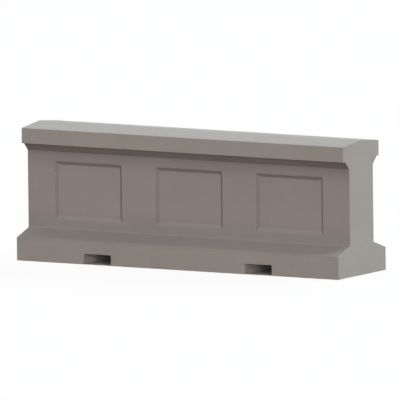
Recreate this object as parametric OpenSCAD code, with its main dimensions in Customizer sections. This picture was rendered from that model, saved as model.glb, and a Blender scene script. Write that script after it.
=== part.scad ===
// Precast concrete road barrier: foot, panelled stem and gabled cap in one casting, over a steel cage.
// The origin is at the middle of the base, X runs along the barrier, -Y is the front and +Z is up.

/* [Overall] */
// Length of the barrier
barrier_l = 2438.4; // [1900:0.1:3700]
// Height from the ground to the ridge
barrier_h = 889; // [740:0.1:1100]

/* [Foot] */
// Width of the foot, front to back
foot_w = 609.6; // [500:0.1:760]
// Height of the foot's upright face
foot_h = 152.4; // [150:0.1:200]
// Height of the slope between the foot and the stem
foot_slope_h = 50.8; // [38:0.1:65]

/* [Stem] */
// Thickness of the stem
stem_w = 304.8; // [254:0.1:370]

/* [Cap] */
// Width of the cap
cap_w = 457.2; // [400:0.1:500]
// Height of the cap's upright face
cap_h = 101.6; // [85:0.1:125]
// Width of the flat ledge under each eave
ledge_w = 25.4; // [15:0.1:35]
// Height of the splay that joins the ledge to the stem
cap_splay_h = 50.8; // [38:0.1:62]
// Rise of the gable from eave to ridge
gable_h = 25.4; // [10:0.1:31]

/* [Panels] */
// Number of recessed panels on each side
panel_count = 3; // [1:1:4]
// From the barrier's end to the first panel
panel_end_margin = 203.2; // [100:0.1:250]
// Between one panel and the next
panel_gap = 254; // [100:0.1:305]
// From the stem's top and bottom edges to a panel
panel_edge_margin = 63.5; // [40:0.1:77]
// Depth of a panel
panel_depth = 19.05; // [10:0.1:23]
// How far a panel's sides lean in over its depth
panel_splay = 22.2; // [5:0.1:27]

/* [Fork pockets] */
// From the barrier's middle to the middle of a fork pocket
pocket_offset = 609.6; // [460:0.1:740]
// Width of a fork pocket
pocket_w = 203.2; // [165:0.1:245]
// Height of a fork pocket
pocket_h = 69.85; // [58:0.05:88]

/* [Reinforcement] */
// Diameter of the main bars
bar_d = 12.7; // [10:0.1:15.3]
// Diameter of the cap's cross bars
cross_bar_d = 9.5; // [8:0.1:11.5]
// Bend radius of a bar's centreline, in bar diameters
bend_ratio = 2.5; // [2:0.1:2.6]
// Concrete over the steel
cover = 38.1; // [32:0.1:45]
// Concrete between a fork pocket and the steel above it
pocket_cover = 25.4; // [20:0.1:31]
// How far a lengthwise bar runs past the last hoop
bar_overhang = 25.4; // [20:0.1:31]
// Hoops between the fork pockets
middle_hoops = 4; // [2:1:4]
// Hoops beyond each fork pocket
end_hoops = 3; // [2:1:3]
// Lengthwise bars in each face of the stem
stem_bar_rows = 4; // [4:1:5]

/* [Spacers and ties] */
// Width of a plastic wheel spacer
wheel_t = 12; // [8:0.1:16]
// Wall of a wheel spacer's hub and rim
wheel_wall = 4; // [3:0.1:5]
// Spokes of a wheel spacer
wheel_spokes = 6; // [4:1:8]
// Height of a wheel spacer's spokes, less than its width
spoke_h = 6; // [4:0.1:7.4]
// Radius of a bar chair's foot
chair_r = 16; // [12:0.1:20]
// Radius of the column of a bar chair
chair_column_r = 10; // [9.5:0.1:11.5]
// Thickness of a bar chair's foot
chair_foot_t = 4; // [3:0.1:6]
// Diameter of the tie wire
wire_d = 1.6; // [1.2:0.1:2]

/* [Clearances] */
// Between the concrete and what is cast into it
bond_gap = 0.3; // [0.2:0.05:0.4]
// Between two bars that cross
cross_gap = 1; // [0.9:0.05:1.2]
// From a plastic spacer to the face that it was set against
spacer_skin = 1.5; // [1:0.1:2]

/* [Hidden] */
$fn = 48;
// How far a cut runs past the face that it opens
CUT = 1;
SIDES = ["front", "back"];
ENDS = ["left", "middle", "right"];
POCKETS = ["left", "right"];

stem_z0 = foot_h + foot_slope_h;
eave_z = barrier_h - gable_h;
cap_z0 = eave_z - cap_h;
stem_z1 = cap_z0 - cap_splay_h;

panel_w = (barrier_l - 2 * panel_end_margin - (panel_count - 1) * panel_gap) / panel_count;
panel_h = stem_z1 - stem_z0 - 2 * panel_edge_margin;
panel_z = (stem_z0 + stem_z1) / 2;

// Steel is set out on this grid, so that a bar's straights and bends meet exactly
GRID = 0.05;
function on_grid(x) = round(x / GRID) * GRID;

bend_r = on_grid(bend_ratio * bar_d);
// A bar nested in a bend lies this far in from each of the bend's two legs
nest = on_grid(bend_r - (bend_r - bar_d - cross_gap) * cos(45));
step = bar_d + cross_gap;

// Centrelines of the hoops, in the plane across the barrier
stirrup_y = on_grid(stem_w / 2 - panel_depth - cover - bar_d / 2);
stirrup_z0 = on_grid(cover + bar_d / 2);
gable_drop = gable_h * stirrup_y / (cap_w / 2);
stirrup_z1 = on_grid(barrier_h - gable_drop - cover - bar_d / 2);
tie_y = on_grid(foot_w / 2 - cover - bar_d / 2);
tie_z0 = stirrup_z0;
above_pocket_z = on_grid(pocket_h + pocket_cover + bar_d / 2);
tie_z1 = above_pocket_z + nest;

// Lengthwise bars, as places across the barrier
foot_bar_y = tie_y - nest;
foot_low_z = tie_z0 + nest;
stem_bar_y = stirrup_y - step;
cap_bar_y = stirrup_y - nest;
cap_bar_z = stirrup_z1 - nest;
eave_bar_y = cap_w / 2 - cover - bar_d;
cross_bar_z = cap_bar_z - (bar_d + cross_bar_d) / 2 - cross_gap;
cross_bar_l = cap_w - 2 * cover;
saddle_y = on_grid((stirrup_y + foot_bar_y) / 2);
saddle_half_w = on_grid(pocket_w / 2 + cover + bar_d / 2);
stem_bar_pitch = (cap_bar_z - above_pocket_z) / stem_bar_rows;

// Stretches along the barrier that the pockets leave for the hoops and the foot's low bars
bar_end_x = barrier_l / 2 - cover;
pocket_in_x = pocket_offset - pocket_w / 2 - cover;
pocket_out_x = pocket_offset + pocket_w / 2 + cover;

function spread(from, to, count) =
    [for (i = [0:count - 1]) on_grid(from + (to - from) * i / (count - 1))];
end_x = spread(pocket_out_x + bar_overhang, bar_end_x - bar_overhang, end_hoops);
middle_x = spread(-pocket_in_x + bar_overhang, pocket_in_x - bar_overhang, middle_hoops);
left_x = [for (i = [end_hoops - 1:-1:0]) -end_x[i]];
hoop_x = concat(left_x, middle_x, end_x);
hoop_count = len(hoop_x);
// Foot ties and cross bars lie beside the stirrups, on the side away from the nearer fork pocket
tie_x = [for (x = hoop_x) x + (x < 0 ? -step : step) * sign(abs(x) - pocket_offset)];

wheel_r = cover + bar_d / 2 - spacer_skin;
wheel_bore_r = bar_d / 2 + bond_gap;
wheel_hoops = [1, end_hoops + 1, hoop_count - end_hoops - 2, hoop_count - 2];
wheel_rows = [1.5, stem_bar_rows - 1.5];
chair_y = foot_bar_y - bend_r;
// A wire loop runs round two crossed bars, clear of the beds that they lie in
wire_film = 0.3;
wire_r = step / 2 + bar_d / 2 + 2 * bond_gap + wire_film + wire_d / 2;

function numbered(name, count) = [for (i = [1:count]) str(name, "_", i)];
function sided(name) = [for (side = SIDES) str(name, "_", side)];
STIRRUPS = numbered("stem_stirrup", hoop_count);
FOOT_TIES = numbered("foot_tie", hoop_count);
CROSS_BARS = numbered("cap_cross_bar", hoop_count);
STEM_BARS = [for (name = sided("stem_bar")) numbered(name, stem_bar_rows)];
FOOT_LOW_BARS = [for (name = sided("foot_low_bar")) [for (end = ENDS) str(name, "_", end)]];
FOOT_TOP_BARS = sided("foot_top_bar");
CAP_BARS = sided("cap_bar");
EAVE_BARS = sided("eave_bar");
SADDLES = [for (pocket = POCKETS) sided(str("pocket_saddle_", pocket))];

// ---- Shapes of bars. gap grows a shape all round, to cut its bed in the concrete ----

module bar_x(x0, x1, y, z, d, gap = 0) {
    translate([x0 - gap, y, z])
        rotate([0, 90, 0])
            cylinder(h = x1 - x0 + 2 * gap, d = d + 2 * gap);
}

module bar_y(x, z, length, d, gap = 0) {
    translate([x, length / 2 + gap, z])
        rotate([90, 0, 0])
            cylinder(h = length + 2 * gap, d = d + 2 * gap);
}

// A quarter bend about the origin, in the XY plane, from +X round to +Y
module bend(radius, d) {
    rotate_extrude(angle = 90)
        translate([radius, 0])
            circle(d = d);
}

// A closed hoop in the XY plane, centred, its centreline w by h
module hoop(w, h, d) {
    for (turn = [0, 180]) {
        rotate(turn) {
            translate([w / 2, bend_r - h / 2, 0])
                rotate([-90, 0, 0])
                    cylinder(h = h - 2 * bend_r, d = d);
            translate([w / 2 - bend_r, h / 2, 0])
                rotate([0, -90, 0])
                    cylinder(h = w - 2 * bend_r, d = d);
            translate([w / 2 - bend_r, h / 2 - bend_r, 0])
                bend(bend_r, d);
            translate([bend_r - w / 2, h / 2 - bend_r, 0])
                rotate(90)
                    bend(bend_r, d);
        }
    }
}

// A hoop that stands across the barrier at x
module hoop_at(x, half_w, z0, z1, gap = 0) {
    translate([x, 0, (z0 + z1) / 2])
        rotate([90, 0, 90])
            hoop(2 * half_w, z1 - z0, bar_d + 2 * gap);
}

// ---- The cage ----

module stem_stirrup(i, gap = 0) {
    color("saddlebrown")
        hoop_at(hoop_x[i], stirrup_y, stirrup_z0, stirrup_z1, gap);
}

module foot_tie(i, gap = 0) {
    color("saddlebrown")
        hoop_at(tie_x[i], tie_y, tie_z0, tie_z1, gap);
}

module cap_cross_bar(i, gap = 0) {
    color("sienna")
        bar_y(tie_x[i], cross_bar_z, cross_bar_l, cross_bar_d, gap);
}

module long_bar(side, y, z, gap = 0) {
    color("sienna")
        bar_x(-bar_end_x, bar_end_x, side * y, z, bar_d, gap);
}

module stem_bar(side, row, gap = 0) {
    long_bar(side, stem_bar_y, above_pocket_z + row * stem_bar_pitch, gap);
}

module foot_top_bar(side, gap = 0) {
    long_bar(side, foot_bar_y, above_pocket_z, gap);
}

module cap_bar(side, gap = 0) {
    long_bar(side, cap_bar_y, cap_bar_z, gap);
}

module eave_bar(side, gap = 0) {
    long_bar(side, eave_bar_y, cap_bar_z, gap);
}

module foot_low_bar(side, end, gap = 0) {
    x0 = [-bar_end_x, -pocket_in_x, pocket_out_x][end];
    x1 = [-pocket_out_x, pocket_in_x, bar_end_x][end];
    color("sienna")
        bar_x(x0, x1, side * foot_bar_y, foot_low_z, bar_d, gap);
}

// An inverted U over a fork pocket
module pocket_saddle(pocket, side, gap = 0) {
    d = bar_d + 2 * gap;
    color("saddlebrown")
        translate([pocket * pocket_offset, side * saddle_y, above_pocket_z]) {
            translate([bend_r - saddle_half_w, 0, 0])
                rotate([0, 90, 0])
                    cylinder(h = 2 * (saddle_half_w - bend_r), d = d);
            for (turn = [0, 180])
                rotate(turn) {
                    translate([saddle_half_w - bend_r, 0, -bend_r])
                        rotate([90, 0, 0])
                            bend(bend_r, d);
                    translate([saddle_half_w, 0, cover - above_pocket_z - gap])
                        cylinder(h = above_pocket_z - cover - bend_r + gap, d = d);
                }
        }
}

// ---- Spacers and ties ----

// A wheel on an upright stirrup leg, about the origin
module wheel_spacer(gap = 0) {
    h = wheel_t + 2 * gap;
    rim_in_r = wheel_r - wheel_wall - gap;
    spoke_w = wheel_wall + 2 * gap;
    difference() {
        union() {
            difference() {
                cylinder(h = h, r = wheel_r + gap, center = true);
                cylinder(h = h + CUT, r = rim_in_r, center = true);
            }
            cylinder(h = h, r = wheel_bore_r + wheel_wall + gap, center = true);
            for (i = [0:wheel_spokes - 1])
                rotate((i + 0.5) * 360 / wheel_spokes)
                    translate([wheel_bore_r + wheel_wall / 2, -spoke_w / 2, -spoke_h / 2 - gap])
                        cube([wheel_r - wheel_wall - wheel_bore_r, spoke_w, spoke_h + 2 * gap]);
        }
        cylinder(h = h + CUT, r = wheel_bore_r - gap, center = true);
    }
}

module wheel_spacers(gap = 0) {
    color("dimgray")
        for (i = wheel_hoops)
            for (row = wheel_rows)
                for (side = [-1, 1])
                    translate([hoop_x[i], side * stirrup_y, above_pocket_z + row * stem_bar_pitch])
                        wheel_spacer(gap);
}

// A chair stands near the base and cradles a foot tie in the notch across its top
module bar_chair(gap = 0) {
    translate([0, 0, spacer_skin - gap])
        cylinder(h = chair_foot_t + 2 * gap, r = chair_r + gap);
    translate([0, 0, spacer_skin])
        cylinder(h = tie_z0 - spacer_skin + gap, r = chair_column_r + gap);
}

module bar_chairs(gap = 0) {
    color("gray")
        for (i = [0:hoop_count - 1])
            for (y = [-chair_y, chair_y])
                difference() {
                    translate([tie_x[i], y, 0])
                        bar_chair(gap);
                    if (gap == 0)
                        bar_y(tie_x[i], tie_z0, foot_w, bar_d, bond_gap);
                }
}

// Wire loops at every other crossing of a stirrup leg and a stem bar
module tie_wires(gap = 0) {
    color("darkgray")
        for (i = [0:hoop_count - 1])
            for (row = [i % 2:2:stem_bar_rows - 1])
                for (side = [-1, 1])
                    translate([
                        hoop_x[i],
                        side * (stirrup_y - step / 2),
                        above_pocket_z + row * stem_bar_pitch
                    ])
                        rotate([0, 45, 0])
                            rotate_extrude()
                                translate([wire_r, 0])
                                    circle(d = wire_d + 2 * gap);
}

// ---- The casting ----

module barrier_outline() {
    half = [
        [foot_w / 2, 0],
        [foot_w / 2, foot_h],
        [stem_w / 2, stem_z0],
        [stem_w / 2, stem_z1],
        [cap_w / 2 - ledge_w, cap_z0],
        [cap_w / 2, cap_z0],
        [cap_w / 2, eave_z]
    ];
    other_half = [for (i = [len(half) - 1:-1:0]) [-half[i].x, half[i].y]];
    polygon(concat(half, [[0, barrier_h]], other_half));
}

// A panel's section across one pair of its sides, with y running into the stem
module panel_outline(size) {
    lead = CUT * panel_splay / panel_depth;
    polygon([
        [-size / 2 - lead, -CUT],
        [size / 2 + lead, -CUT],
        [size / 2 - panel_splay, panel_depth],
        [-size / 2 + panel_splay, panel_depth]
    ]);
}

// A recess with mitred sloping sides, its mouth in the plane y = 0
module panel_cut() {
    intersection() {
        linear_extrude(2 * panel_h, center = true)
            panel_outline(panel_w);
        rotate([0, 90, 0])
            linear_extrude(2 * panel_w, center = true)
                panel_outline(panel_h);
    }
}

module panel_cuts() {
    pitch = panel_w + panel_gap;
    for (turn = [0, 180])
        rotate(turn)
            for (i = [0:panel_count - 1])
                translate([(i - (panel_count - 1) / 2) * pitch, -stem_w / 2, panel_z])
                    panel_cut();
}

module fork_pockets() {
    for (pocket = [-1, 1])
        translate([pocket * pocket_offset - pocket_w / 2, -foot_w / 2 - CUT, -CUT])
            cube([pocket_w, foot_w + 2 * CUT, pocket_h + CUT]);
}

// Everything that is cast in, grown by gap all round
module cage(gap = 0) {
    for (i = [0:hoop_count - 1]) {
        stem_stirrup(i, gap);
        foot_tie(i, gap);
        cap_cross_bar(i, gap);
    }
    for (side = [-1, 1]) {
        for (row = [0:stem_bar_rows - 1])
            stem_bar(side, row, gap);
        for (end = [0:len(ENDS) - 1])
            foot_low_bar(side, end, gap);
        foot_top_bar(side, gap);
        cap_bar(side, gap);
        eave_bar(side, gap);
        for (pocket = [-1, 1])
            pocket_saddle(pocket, side, gap);
    }
    wheel_spacers(gap);
    bar_chairs(gap);
    tie_wires(gap);
}

module concrete_body() {
    color([0.53, 0.5, 0.47])
        difference() {
            rotate([90, 0, 90])
                linear_extrude(barrier_l, center = true)
                    barrier_outline();
            panel_cuts();
            fork_pockets();
            cage(bond_gap);
        }
}

// ---- Nodes ----

concrete_body();
for (i = [0:hoop_count - 1]) {
    stem_stirrup(i);
    foot_tie(i);
    cap_cross_bar(i);
}
for (s = [0, 1]) {
    side = 2 * s - 1;
    for (row = [0:stem_bar_rows - 1])
        stem_bar(side, row);
    for (end = [0:len(ENDS) - 1])
        foot_low_bar(side, end);
    foot_top_bar(side);
    cap_bar(side);
    eave_bar(side);
    for (p = [0, 1])
        pocket_saddle(2 * p - 1, side);
}
wheel_spacers();
bar_chairs();
tie_wires();
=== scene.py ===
"""The looks of the concrete jersey barrier: a form-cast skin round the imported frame."""

import math
import random

import bmesh
import bpy
from mathutils import Euler, Matrix, Vector, noise


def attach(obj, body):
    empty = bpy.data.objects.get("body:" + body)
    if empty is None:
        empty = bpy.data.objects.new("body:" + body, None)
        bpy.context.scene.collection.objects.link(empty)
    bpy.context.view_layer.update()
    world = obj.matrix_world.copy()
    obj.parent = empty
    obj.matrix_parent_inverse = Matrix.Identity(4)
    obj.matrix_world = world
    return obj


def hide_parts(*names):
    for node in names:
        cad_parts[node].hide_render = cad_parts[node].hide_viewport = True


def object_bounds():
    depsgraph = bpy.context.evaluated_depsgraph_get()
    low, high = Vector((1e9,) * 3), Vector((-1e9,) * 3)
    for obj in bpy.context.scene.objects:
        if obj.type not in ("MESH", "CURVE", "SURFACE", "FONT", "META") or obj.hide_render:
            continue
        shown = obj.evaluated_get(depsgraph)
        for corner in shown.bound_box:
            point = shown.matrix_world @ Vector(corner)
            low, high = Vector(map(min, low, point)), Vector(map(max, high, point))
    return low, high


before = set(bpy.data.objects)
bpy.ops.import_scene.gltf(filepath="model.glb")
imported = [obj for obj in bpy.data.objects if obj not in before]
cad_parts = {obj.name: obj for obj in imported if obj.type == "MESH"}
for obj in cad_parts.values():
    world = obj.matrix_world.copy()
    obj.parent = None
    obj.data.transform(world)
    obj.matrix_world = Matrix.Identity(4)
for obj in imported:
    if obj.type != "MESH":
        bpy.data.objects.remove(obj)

cad_low, cad_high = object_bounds()

# ---- Sizes, in metres and degrees ----

SEED = 4

# The camera looks along a parallel view, turned and raised to the catalogue angle.
AZIMUTH, ELEVATION, ROLL = 30.64, 6.99, 0.616
VIEW_WIDTH = 2.611
VIEW_LEFT, VIEW_DOWN = 0.0046, 0.0160
CAMERA_FAR = 8.0

CAMERA_REACH = 100.0

# The skin: points nearer than WELD are one, and levels over LEVEL_STEP apart are two.
WELD = 1e-5
LEVEL_STEP = 10 * WELD
FLAT = math.radians(0.5)
SHARP = math.radians(15)
SMOOTH_BELOW = math.radians(20)
ARRIS = 0.003
ARRIS_STEPS, ARRIS_ROUND = 2, 0.5
GRID = 0.025
WAVE_DEPTH, WAVE_LENGTH = 0.0004, 0.32

# The lumps cut out of it: air holes, and knocks on the arrises. Each is a rough, stretched
# ball whose middle lies outside the skin by a share of its radius.
SMALL_FACE = 0.0001
LEVEL_NORMAL = 0.5
DRAWS_EACH = 4
ROUGH_SCALE, ROUGH_REACH = 1.3, 50
HOLE_COUNT, HOLE_SPACING = 260, 0.02
HOLE_LEAST, HOLE_MOST, HOLE_SKEW = 0.0013, 0.0045, 3
HOLE_OUT, HOLE_STRETCH = 0.3, 0.25
KNOCK_COUNT, KNOCK_SPACING = 46, 0.05
KNOCK_LEAST, KNOCK_MOST = 0.005, 0.011
KNOCK_OUT, KNOCK_STRETCH = 0.62, 0.5

# The faces' marks, which say where painted shade goes. A reveal's or an end's normal leans
# along the barrier by its tilt.
SIDE_SHADE_MARK, REVEAL_SHADE_MARK = "long_side_shade", "reveal"
REVEAL_TILT, END_TILT = 0.3, 0.85
FRONT_SHADE_SHARE, BACK_SHADE_SHARE = 1.0, 0.6
# How dark the painted shade in the panels' upright reveals is
REVEAL_PAINTED_SHADE = 0.82

# The long sides' painted shade and light colour at each height: shade where the stem meets
# the foot and under the cap, and a pinkish light cast on the stem
SIDE_PAINTED_SHADE = [
    (0.000, (1.0, 1.0, 1.0)),
    (0.130, (1.0, 1.0, 1.0)),
    (0.150, (0.93, 0.93, 0.94)),
    (0.165, (0.87, 0.865, 0.88)),
    (0.200, (0.86, 0.86, 0.88)),
    (0.207, (0.80, 0.80, 0.84)),
    (0.240, (0.80, 0.81, 0.85)),
    (0.290, (0.87, 0.85, 0.92)),
    (0.360, (0.955, 0.893, 0.985)),
    (0.590, (0.955, 0.893, 0.985)),
    (0.655, (0.88, 0.83, 0.90)),
    (0.705, (0.86, 0.82, 0.87)),
    (0.735, (0.97, 0.96, 0.97)),
    (0.765, (1.0, 1.0, 1.0)),
]

# How far the painted shade's levels wander up and down
SHADE_WANDER = 0.006

FLOOR_SIZE = 60.0
FLOOR_SHADOW = 0.06
SHADED_LIFT = 0.0003
LAMP_FAR = 5.0


def shade(mesh):
    """Smooth shading, broken at the arrises."""
    for face in mesh.polygons:
        face.use_smooth = True
    mesh.set_sharp_from_angle(angle=SMOOTH_BELOW)


def mark_faces(mesh):
    """Stores how much painted shade each face takes, and whether it is a panel's upright
    reveal.
    """
    sides = mesh.attributes.new(SIDE_SHADE_MARK, "FLOAT", "FACE")
    reveals = mesh.attributes.new(REVEAL_SHADE_MARK, "FLOAT", "FACE")
    for face, side, reveal in zip(mesh.polygons, sides.data, reveals.data):
        tilt = abs(face.normal.x)
        # The share of the painted shade ramp on the front and on the back; the ends get
        # none
        stain = FRONT_SHADE_SHARE if face.normal.y < 0 else BACK_SHADE_SHARE
        side.value = stain * (tilt < END_TILT)
        leaning = REVEAL_TILT < tilt < END_TILT
        reveal.value = float(leaning and face.area > SMALL_FACE)


# ---- The concrete skin, cut from the casting's outer faces ----


def outer_skin(source):
    """A bmesh of the casting's outside only, without the sealed beds round the steel."""
    bm = bmesh.new()
    bm.from_mesh(source)
    bmesh.ops.remove_doubles(bm, verts=bm.verts, dist=WELD)
    corner = min(bm.verts, key=lambda v: v.co.x + v.co.y + v.co.z)
    skin, front = {corner}, [corner]
    while front:
        reached = front.pop()
        for edge in reached.link_edges:
            other = edge.other_vert(reached)
            if other not in skin:
                skin.add(other)
                front.append(other)
    bmesh.ops.delete(bm, geom=[v for v in bm.verts if v not in skin], context="VERTS")
    bmesh.ops.dissolve_limit(bm, angle_limit=FLAT, verts=bm.verts, edges=bm.edges)
    return bm


def cut(bm, axis, places):
    """Cuts every face where it crosses one of the places along an axis."""
    normal = Vector([float(i == axis) for i in range(3)])
    for place in places:
        bmesh.ops.bisect_plane(
            bm,
            geom=bm.verts[:] + bm.edges[:] + bm.faces[:],
            dist=WELD,
            plane_co=normal * place,
            plane_no=normal,
        )


def levels(bm, axis):
    """The coordinates along an axis at which the casting has corners."""
    found = []
    for value in sorted(v.co[axis] for v in bm.verts):
        if not found or value - found[-1] > LEVEL_STEP:
            found.append(value)
    return found


def is_flat(edge):
    """True for an edge inside a flat face."""
    return len(edge.link_faces) == 2 and edge.calc_face_angle() < FLAT


def is_square(edge):
    """True for an edge that runs along the barrier or straight across it."""
    run = edge.verts[1].co - edge.verts[0].co
    return abs(run.x) < LEVEL_STEP or math.hypot(run.y, run.z) < LEVEL_STEP


def between(low, high, step):
    """Evenly spread places between two ends, about a step apart."""
    count = max(1, round((high - low) / step))
    return [low + (high - low) * i / count for i in range(1, count)]


def cast_skin(source):
    """The outside, with rounded arrises, an even grid and a slight waviness."""
    bm = outer_skin(source)
    corners = [levels(bm, axis) for axis in range(3)]
    cut(bm, 0, corners[0][1:-1])
    cut(bm, 2, corners[2][1:-1])
    slanted = [e for e in bm.edges if is_flat(e) and not is_square(e)]
    bmesh.ops.dissolve_edges(bm, edges=slanted, use_verts=False)
    arrises = [e for e in bm.edges if e.calc_face_angle(0) > SHARP]
    bmesh.ops.bevel(
        bm,
        geom=arrises,
        offset=ARRIS,
        segments=ARRIS_STEPS,
        profile=ARRIS_ROUND,
        affect="EDGES",
        clamp_overlap=True,
    )
    for axis in range(3):
        cut(bm, axis, between(cad_low[axis], cad_high[axis], GRID))
    bm.normal_update()
    for v in bm.verts:
        wave = noise.noise(v.co / WAVE_LENGTH) * WAVE_DEPTH
        v.co -= v.normal * (WAVE_DEPTH + wave)
    return bm


def rock(bm, centre, radius, stretch, draw):
    """Adds a small closed lump: the shape that an air bubble or a knock takes out."""
    turn = Euler([draw.uniform(0, math.tau) for _ in range(3)]).to_matrix()
    lump = bmesh.ops.create_icosphere(bm, subdivisions=2, radius=1.0)["verts"]
    shift = Vector([draw.uniform(-ROUGH_REACH, ROUGH_REACH) for _ in range(3)])
    for v in lump:
        rough = 1 + stretch * noise.noise(v.co * ROUGH_SCALE + shift)
        drawn_out = Vector((v.co.x * (1 + stretch), v.co.y, v.co.z))
        v.co = centre + turn @ drawn_out * radius * rough


def pick(items, weights, count, spacing, point_of, draw):
    """Draws items by weight, none nearer than the spacing to one that was drawn before."""
    kept = []
    for item in draw.choices(items, weights, k=DRAWS_EACH * count):
        point = point_of(item)
        if all((point - other).length > spacing for _, other in kept):
            kept.append((item, point))
        if len(kept) == count:
            break
    return kept


def in_face(face, draw):
    """A point inside a face, between its middle and its corners."""
    shares = [draw.random() for _ in face.verts]
    total = sum(shares)
    return sum((v.co * s for v, s in zip(face.verts, shares)), Vector()) / total


def blemishes(skin):
    """The lumps that come off the skin: air holes in its faces, knocks on arrises."""
    draw = random.Random(SEED)
    lumps = bmesh.new()
    formed = [
        f
        for f in skin.faces
        if abs(f.normal.z) < LEVEL_NORMAL and f.calc_area() > SMALL_FACE
    ]
    holes = pick(
        formed,
        [f.calc_area() for f in formed],
        HOLE_COUNT,
        HOLE_SPACING,
        lambda f: in_face(f, draw),
        draw,
    )
    for face, point in holes:
        radius = HOLE_LEAST + (HOLE_MOST - HOLE_LEAST) * draw.random() ** HOLE_SKEW
        centre = point + face.normal * radius * HOLE_OUT
        rock(lumps, centre, radius, HOLE_STRETCH, draw)
    edges = [
        e
        for e in skin.edges
        if e.is_convex and e.calc_face_angle(0) > SHARP and e.calc_length() > GRID / 2
    ]
    knocks = pick(
        edges,
        [e.calc_length() for e in edges],
        KNOCK_COUNT,
        KNOCK_SPACING,
        lambda e: (e.verts[0].co + e.verts[1].co) / 2,
        draw,
    )
    for edge, point in knocks:
        if any((point - other).length < KNOCK_SPACING for _, other in holes):
            continue
        out = (edge.link_faces[0].normal + edge.link_faces[1].normal).normalized()
        radius = draw.uniform(KNOCK_LEAST, KNOCK_MOST)
        rock(lumps, point + out * radius * KNOCK_OUT, radius, KNOCK_STRETCH, draw)
    return lumps


def to_object(name, bm):
    """Turns a bmesh into an object, and frees it."""
    mesh = bpy.data.meshes.new(name)
    bm.to_mesh(mesh)
    bm.free()
    made = bpy.data.objects.new(name, mesh)
    bpy.context.scene.collection.objects.link(made)
    return made


def take_away(piece, cutter):
    """Cuts one object out of another and removes it."""
    boolean = piece.modifiers.new("blemishes", "BOOLEAN")
    boolean.operation = "DIFFERENCE"
    boolean.solver = "MANIFOLD"
    boolean.object = cutter
    depsgraph = bpy.context.evaluated_depsgraph_get()
    piece_mesh = bpy.data.meshes.new_from_object(piece.evaluated_get(depsgraph))
    piece.modifiers.clear()
    piece.data = piece_mesh
    bpy.data.objects.remove(cutter)


skin = cast_skin(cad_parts["concrete_body"].data)
lumps = to_object("blemish_lumps", blemishes(skin))
casting = to_object("concrete_casting", skin)
take_away(casting, lumps)
shade(casting.data)
mark_faces(casting.data)
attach(casting, "root")
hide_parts("concrete_body")


# ---- Materials ----


def add(tree, kind, inputs=None, **settings):
    """A new node, with its settings and its inputs, which are sockets or values."""
    made = tree.nodes.new(kind)
    for name, value in settings.items():
        setattr(made, name, value)
    for name, value in (inputs or {}).items():
        if isinstance(value, bpy.types.NodeSocket):
            tree.links.new(value, made.inputs[name])
        else:
            made.inputs[name].default_value = value
    return made


def new_material(name):
    """An empty material, its node tree and its object coordinates."""
    material = bpy.data.materials.new(name)
    material.use_nodes = True
    tree = material.node_tree
    tree.nodes.clear()
    place = add(tree, "ShaderNodeTexCoord").outputs["Object"]
    return material, tree, place


def grain(tree, place, scale, detail=4.0, rough=0.55):
    """Fractal noise from 0 to 1."""
    made = add(
        tree,
        "ShaderNodeTexNoise",
        {"Vector": place, "Scale": scale, "Detail": detail, "Roughness": rough},
    )
    return made.outputs["Fac"]


def remap(tree, value, low, high, to_low=0.0, to_high=1.0):
    """Maps low to high onto to_low to to_high."""
    inputs = {0: value, 1: low, 2: high, 3: to_low, 4: to_high}
    return add(tree, "ShaderNodeMapRange", inputs).outputs[0]


def mix(tree, factor, a, b, blend="MIX"):
    """Mixes two colours."""
    made = add(tree, "ShaderNodeMix", data_type="RGBA", blend_type=blend)
    for socket, value in ((0, factor), (6, a), (7, b)):
        if isinstance(value, bpy.types.NodeSocket):
            tree.links.new(value, made.inputs[socket])
        else:
            made.inputs[socket].default_value = value
    return made.outputs[2]


def maths(tree, operation, a, b):
    """One sum of two values, such as ADD or MULTIPLY."""
    return add(tree, "ShaderNodeMath", {0: a, 1: b}, operation=operation).outputs[0]


def colour(red, green, blue):
    return (red, green, blue, 1.0)


def ramp(tree, value, stops):
    """A colour ramp through (position, (red, green, blue)) stops."""
    made = add(tree, "ShaderNodeValToRGB", {0: value})
    elements = made.color_ramp.elements
    elements[0].position, elements[1].position = stops[0][0], stops[-1][0]
    for position, _ in stops[1:-1]:
        elements.new(position)
    for element, (_, rgb) in zip(elements, stops):
        element.color = colour(*rgb)
    return made.outputs[0]


def finish_surface(tree, base, rough, height, depth, **constants):
    """The shader and output: colour, roughness and bump from nodes, the rest constant."""
    bump = add(
        tree, "ShaderNodeBump", {"Height": height, "Strength": 1.0, "Distance": depth}
    )
    surface = add(
        tree,
        "ShaderNodeBsdfPrincipled",
        {
            "Base Color": base,
            "Roughness": rough,
            "Normal": bump.outputs["Normal"],
            **constants,
        },
    )
    add(tree, "ShaderNodeOutputMaterial", {"Surface": surface.outputs[0]})


# The shares of sand and mottle in the concrete's relief, its depth, and how dark a pit's
# painted shade is
SAND_RELIEF, MOTTLE_RELIEF, CONCRETE_RELIEF = 0.35, 0.5, 0.0007
PIT_DARKNESS = 0.6


def small_pits(tree, place):
    """Pinholes from 0 to 1, in sparse patches."""
    cells = add(
        tree,
        "ShaderNodeTexVoronoi",
        {"Vector": place, "Scale": 130.0, "Randomness": 1.0},
    )
    middles = remap(tree, cells.outputs["Distance"], 0.10, 0.22, 1.0, 0.0)
    patches = remap(tree, grain(tree, place, scale=31.0, detail=2.0), 0.52, 0.60)
    return maths(tree, "MULTIPLY", middles, patches)


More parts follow.
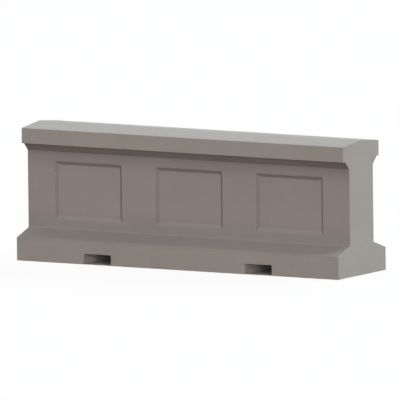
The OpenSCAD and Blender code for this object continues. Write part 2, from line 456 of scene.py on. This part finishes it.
def with_painted_shade(tree, place, base):
    """The base colour with the long sides' painted shade and light colour by height, and
    painted shade in the panels' reveals.
    """
    up = add(tree, "ShaderNodeSeparateXYZ", {0: place}).outputs["Z"]
    wander = remap(
        tree,
        grain(tree, place, scale=9.0, detail=3.0),
        0.3,
        0.7,
        to_low=-SHADE_WANDER,
        to_high=SHADE_WANDER,
    )
    # Painted shade and light colour on the long sides, by height
    tint = ramp(tree, maths(tree, "ADD", up, wander), SIDE_PAINTED_SHADE)
    side = add(tree, "ShaderNodeAttribute", attribute_name=SIDE_SHADE_MARK).outputs["Fac"]
    base = mix(tree, side, base, mix(tree, 1.0, base, tint, "MULTIPLY"))
    reveal = add(tree, "ShaderNodeAttribute", attribute_name=REVEAL_SHADE_MARK).outputs["Fac"]
    # Painted shade in the panels' upright reveals
    reveal_shade = colour(REVEAL_PAINTED_SHADE, REVEAL_PAINTED_SHADE, REVEAL_PAINTED_SHADE)
    return mix(tree, reveal, base, mix(tree, 1.0, base, reveal_shade, "MULTIPLY"))


def concrete_material():
    material, tree, place = new_material("concrete_cast")
    clouds = grain(tree, place, scale=2.6, detail=5.0)
    mottle = grain(tree, place, scale=17.0, detail=6.0, rough=0.62)
    sand = grain(tree, place, scale=380.0, detail=3.0, rough=0.7)
    pit = small_pits(tree, place)
    dark_cement, pale_cement = colour(0.385, 0.362, 0.345), colour(0.415, 0.390, 0.371)
    base = mix(tree, remap(tree, clouds, 0.3, 0.7), dark_cement, pale_cement)
    damp = remap(tree, mottle, 0.35, 0.7, to_high=0.10)
    base = mix(tree, damp, base, colour(0.30, 0.28, 0.265))
    specks = remap(tree, sand, 0.45, 0.75, to_high=0.22)
    base = mix(tree, specks, base, colour(0.56, 0.54, 0.51))
    # Pinholes darkened with painted shade
    shadow = maths(tree, "MULTIPLY", pit, PIT_DARKNESS)
    base = mix(tree, shadow, base, colour(0.12, 0.11, 0.10))
    base = with_painted_shade(tree, place, base)
    rough = remap(tree, mottle, 0.3, 0.7, to_low=0.82, to_high=0.94)
    relief = maths(
        tree,
        "ADD",
        maths(tree, "MULTIPLY", sand, SAND_RELIEF),
        maths(tree, "MULTIPLY", mottle, MOTTLE_RELIEF),
    )
    height = maths(tree, "SUBTRACT", relief, pit)
    finish_surface(
        tree, base, rough, height, CONCRETE_RELIEF, **{"Specular IOR Level": 0.25}
    )
    return material


def steel_material():
    material, tree, place = new_material("rebar_steel")
    scale_patches = grain(tree, place, scale=60.0, detail=5.0, rough=0.65)
    rust = grain(tree, place, scale=240.0, detail=4.0, rough=0.7)
    mill_scale, brown_rust = colour(0.055, 0.052, 0.055), colour(0.16, 0.065, 0.03)
    base = mix(tree, remap(tree, scale_patches, 0.42, 0.62), mill_scale, brown_rust)
    bright = remap(tree, rust, 0.5, 0.75, to_high=0.5)
    base = mix(tree, bright, base, colour(0.28, 0.12, 0.05))
    rough = remap(tree, scale_patches, 0.4, 0.65, to_low=0.45, to_high=0.85)
    finish_surface(tree, base, rough, rust, 0.0003, Metallic=0.35)
    return material


def plastic_material():
    material, tree, place = new_material("spacer_plastic")
    flow = grain(tree, place, scale=90.0, detail=3.0)
    stipple = grain(tree, place, scale=900.0, detail=2.0)
    dark, pale = colour(0.10, 0.10, 0.105), colour(0.15, 0.15, 0.155)
    base = mix(tree, remap(tree, flow, 0.3, 0.7), dark, pale)
    rough = remap(tree, stipple, 0.3, 0.7, to_low=0.42, to_high=0.6)
    finish_surface(tree, base, rough, stipple, 0.0001)
    return material


def wire_material():
    material, tree, place = new_material("annealed_wire")
    stain = grain(tree, place, scale=320.0, detail=4.0)
    black, brown = colour(0.05, 0.05, 0.055), colour(0.13, 0.07, 0.045)
    base = mix(tree, remap(tree, stain, 0.35, 0.7), black, brown)
    rough = remap(tree, stain, 0.3, 0.7, to_low=0.35, to_high=0.65)
    finish_surface(tree, base, rough, stain, 0.0001, Metallic=0.7)
    return material


def dress(piece, material):
    piece.data.materials.clear()
    piece.data.materials.append(material)


concrete, steel = concrete_material(), steel_material()
plastic, wire = plastic_material(), wire_material()
OTHER_THAN_STEEL = {
    "concrete_body": concrete,
    "wheel_spacers": plastic,
    "bar_chairs": plastic,
    "tie_wires": wire,
}
dress(casting, concrete)
for name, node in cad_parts.items():
    dress(node, OTHER_THAN_STEEL.get(name, steel))


# ---- Floor, light and camera ----


def make_sheet(name, low, high, z):
    """A flat piece of floor, which isn't part of the object."""
    (left, front), (right, back) = low, high
    corners = [(left, front, z), (right, front, z), (right, back, z), (left, back, z)]
    plane = bpy.data.meshes.new(name)
    plane.from_pydata(corners, [], [(0, 1, 2, 3)])
    sheet = bpy.data.objects.new(name, plane)
    bpy.context.scene.collection.objects.link(sheet)
    sheet.visible_glossy = False
    return sheet


def make_floor():
    """A white floor that sends no light back, and the shaded ground in the fork pockets."""
    half = FLOOR_SIZE / 2
    floor = make_sheet("floor", (-half, -half), (half, half), 0.0)
    floor.visible_diffuse = False
    material, tree, _ = new_material("pale_floor")
    glow = add(tree, "ShaderNodeEmission", {"Color": colour(1, 1, 1), "Strength": 1.0})
    paint = add(tree, "ShaderNodeBsdfDiffuse", {"Color": colour(0.8, 0.8, 0.8)})
    both = add(
        tree,
        "ShaderNodeMixShader",
        {0: FLOOR_SHADOW, 1: glow.outputs[0], 2: paint.outputs[0]},
    )
    add(tree, "ShaderNodeOutputMaterial", {"Surface": both.outputs[0]})
    floor.data.materials.append(material)
    inset = 2 * ARRIS
    shaded = make_sheet(
        "floor_under",
        (cad_low.x + inset, cad_low.y + inset),
        (cad_high.x - inset, cad_high.y - inset),
        SHADED_LIFT,
    )
    material, tree, _ = new_material("shaded_floor")
    paint = add(tree, "ShaderNodeBsdfDiffuse", {"Color": colour(0.6, 0.58, 0.56)})
    add(tree, "ShaderNodeOutputMaterial", {"Surface": paint.outputs[0]})
    shaded.data.materials.append(material)


# What the surroundings send from each height, from straight down at 0 to straight up at 1
SKY = [
    (0.0, (0.030, 0.028, 0.026)),
    (0.5, (0.041, 0.032, 0.030)),
    (0.84, (0.05, 0.045, 0.045)),
    (0.87, (0.24, 0.22, 0.22)),
    (1.0, (0.24, 0.22, 0.22)),
]
# name: (azimuth it comes from, elevation, angular size, strength, colour)
LAMPS = {
    "back": (180.0, 40.0, 35.0, 1.42, (0.80, 0.975, 1.14)),
    "right": (140.0, 25.0, 35.0, 2.5, (0.90, 1.0, 1.01)),
    "left_back": (235.0, 20.0, 35.0, 1.15, (1.08, 0.99, 0.90)),
    "front_right": (41.0, 6.0, 35.0, 1.80, (1.07, 0.960, 0.885)),
    "front": (0.0, 45.0, 35.0, 0.64, (0.97, 1.05, 0.99)),
    "front_left": (300.0, 15.0, 35.0, 0.42, (1.1, 0.95, 0.96)),
}


def make_world():
    """Dim surroundings with a pale top, which the camera sees as white paper."""
    world = bpy.data.worlds.new("studio")
    bpy.context.scene.world = world
    world.use_nodes = True
    tree = world.node_tree
    tree.nodes.clear()
    place = add(tree, "ShaderNodeTexCoord").outputs["Generated"]
    up = add(tree, "ShaderNodeSeparateXYZ", {0: place}).outputs["Z"]
    light = ramp(tree, remap(tree, up, -1.0, 1.0), SKY)
    sky = add(tree, "ShaderNodeBackground", {"Color": light, "Strength": 1.0})
    paper = add(tree, "ShaderNodeBackground", {"Color": colour(1, 1, 1), "Strength": 1.0})
    seen = add(tree, "ShaderNodeLightPath").outputs["Is Camera Ray"]
    both = add(
        tree, "ShaderNodeMixShader", {0: seen, 1: sky.outputs[0], 2: paper.outputs[0]}
    )
    add(tree, "ShaderNodeOutputWorld", {"Surface": both.outputs[0]})


def away(azimuth, elevation):
    """The unit vector from the object towards an azimuth and elevation."""
    a, e = math.radians(azimuth), math.radians(elevation)
    return Vector((math.sin(a) * math.cos(e), -math.cos(a) * math.cos(e), math.sin(e)))


def make_lamp(name, azimuth, elevation, spread, strength, tint):
    lamp = bpy.data.lights.new(name, "SUN")
    lamp.angle = math.radians(spread)
    lamp.energy = strength
    lamp.color = tint
    placed = bpy.data.objects.new(name, lamp)
    towards = away(azimuth, elevation)
    placed.rotation_euler = towards.to_track_quat("Z", "Y").to_euler()
    placed.location = towards * LAMP_FAR
    bpy.context.scene.collection.objects.link(placed)


def make_camera():
    centre = Vector((0, 0, (cad_low.z + cad_high.z) / 2))
    data = bpy.data.cameras.new("camera")
    data.type = "ORTHO"
    data.ortho_scale = VIEW_WIDTH
    data.clip_end = CAMERA_REACH
    camera = bpy.data.objects.new("camera", data)
    bpy.context.scene.collection.objects.link(camera)
    back = away(AZIMUTH, ELEVATION)
    turn = back.to_track_quat("Z", "Y").to_matrix()
    turn = turn @ Matrix.Rotation(-math.radians(ROLL), 3, "Z")
    place = centre + back * CAMERA_FAR + turn @ Vector((-VIEW_LEFT, -VIEW_DOWN, 0))
    camera.matrix_world = Matrix.Translation(place) @ turn.to_4x4()
    bpy.context.scene.camera = camera


make_floor()
make_world()
for name, settings in LAMPS.items():
    make_lamp(name, *settings)
make_camera()
bpy.context.scene.view_settings.view_transform = "Standard"
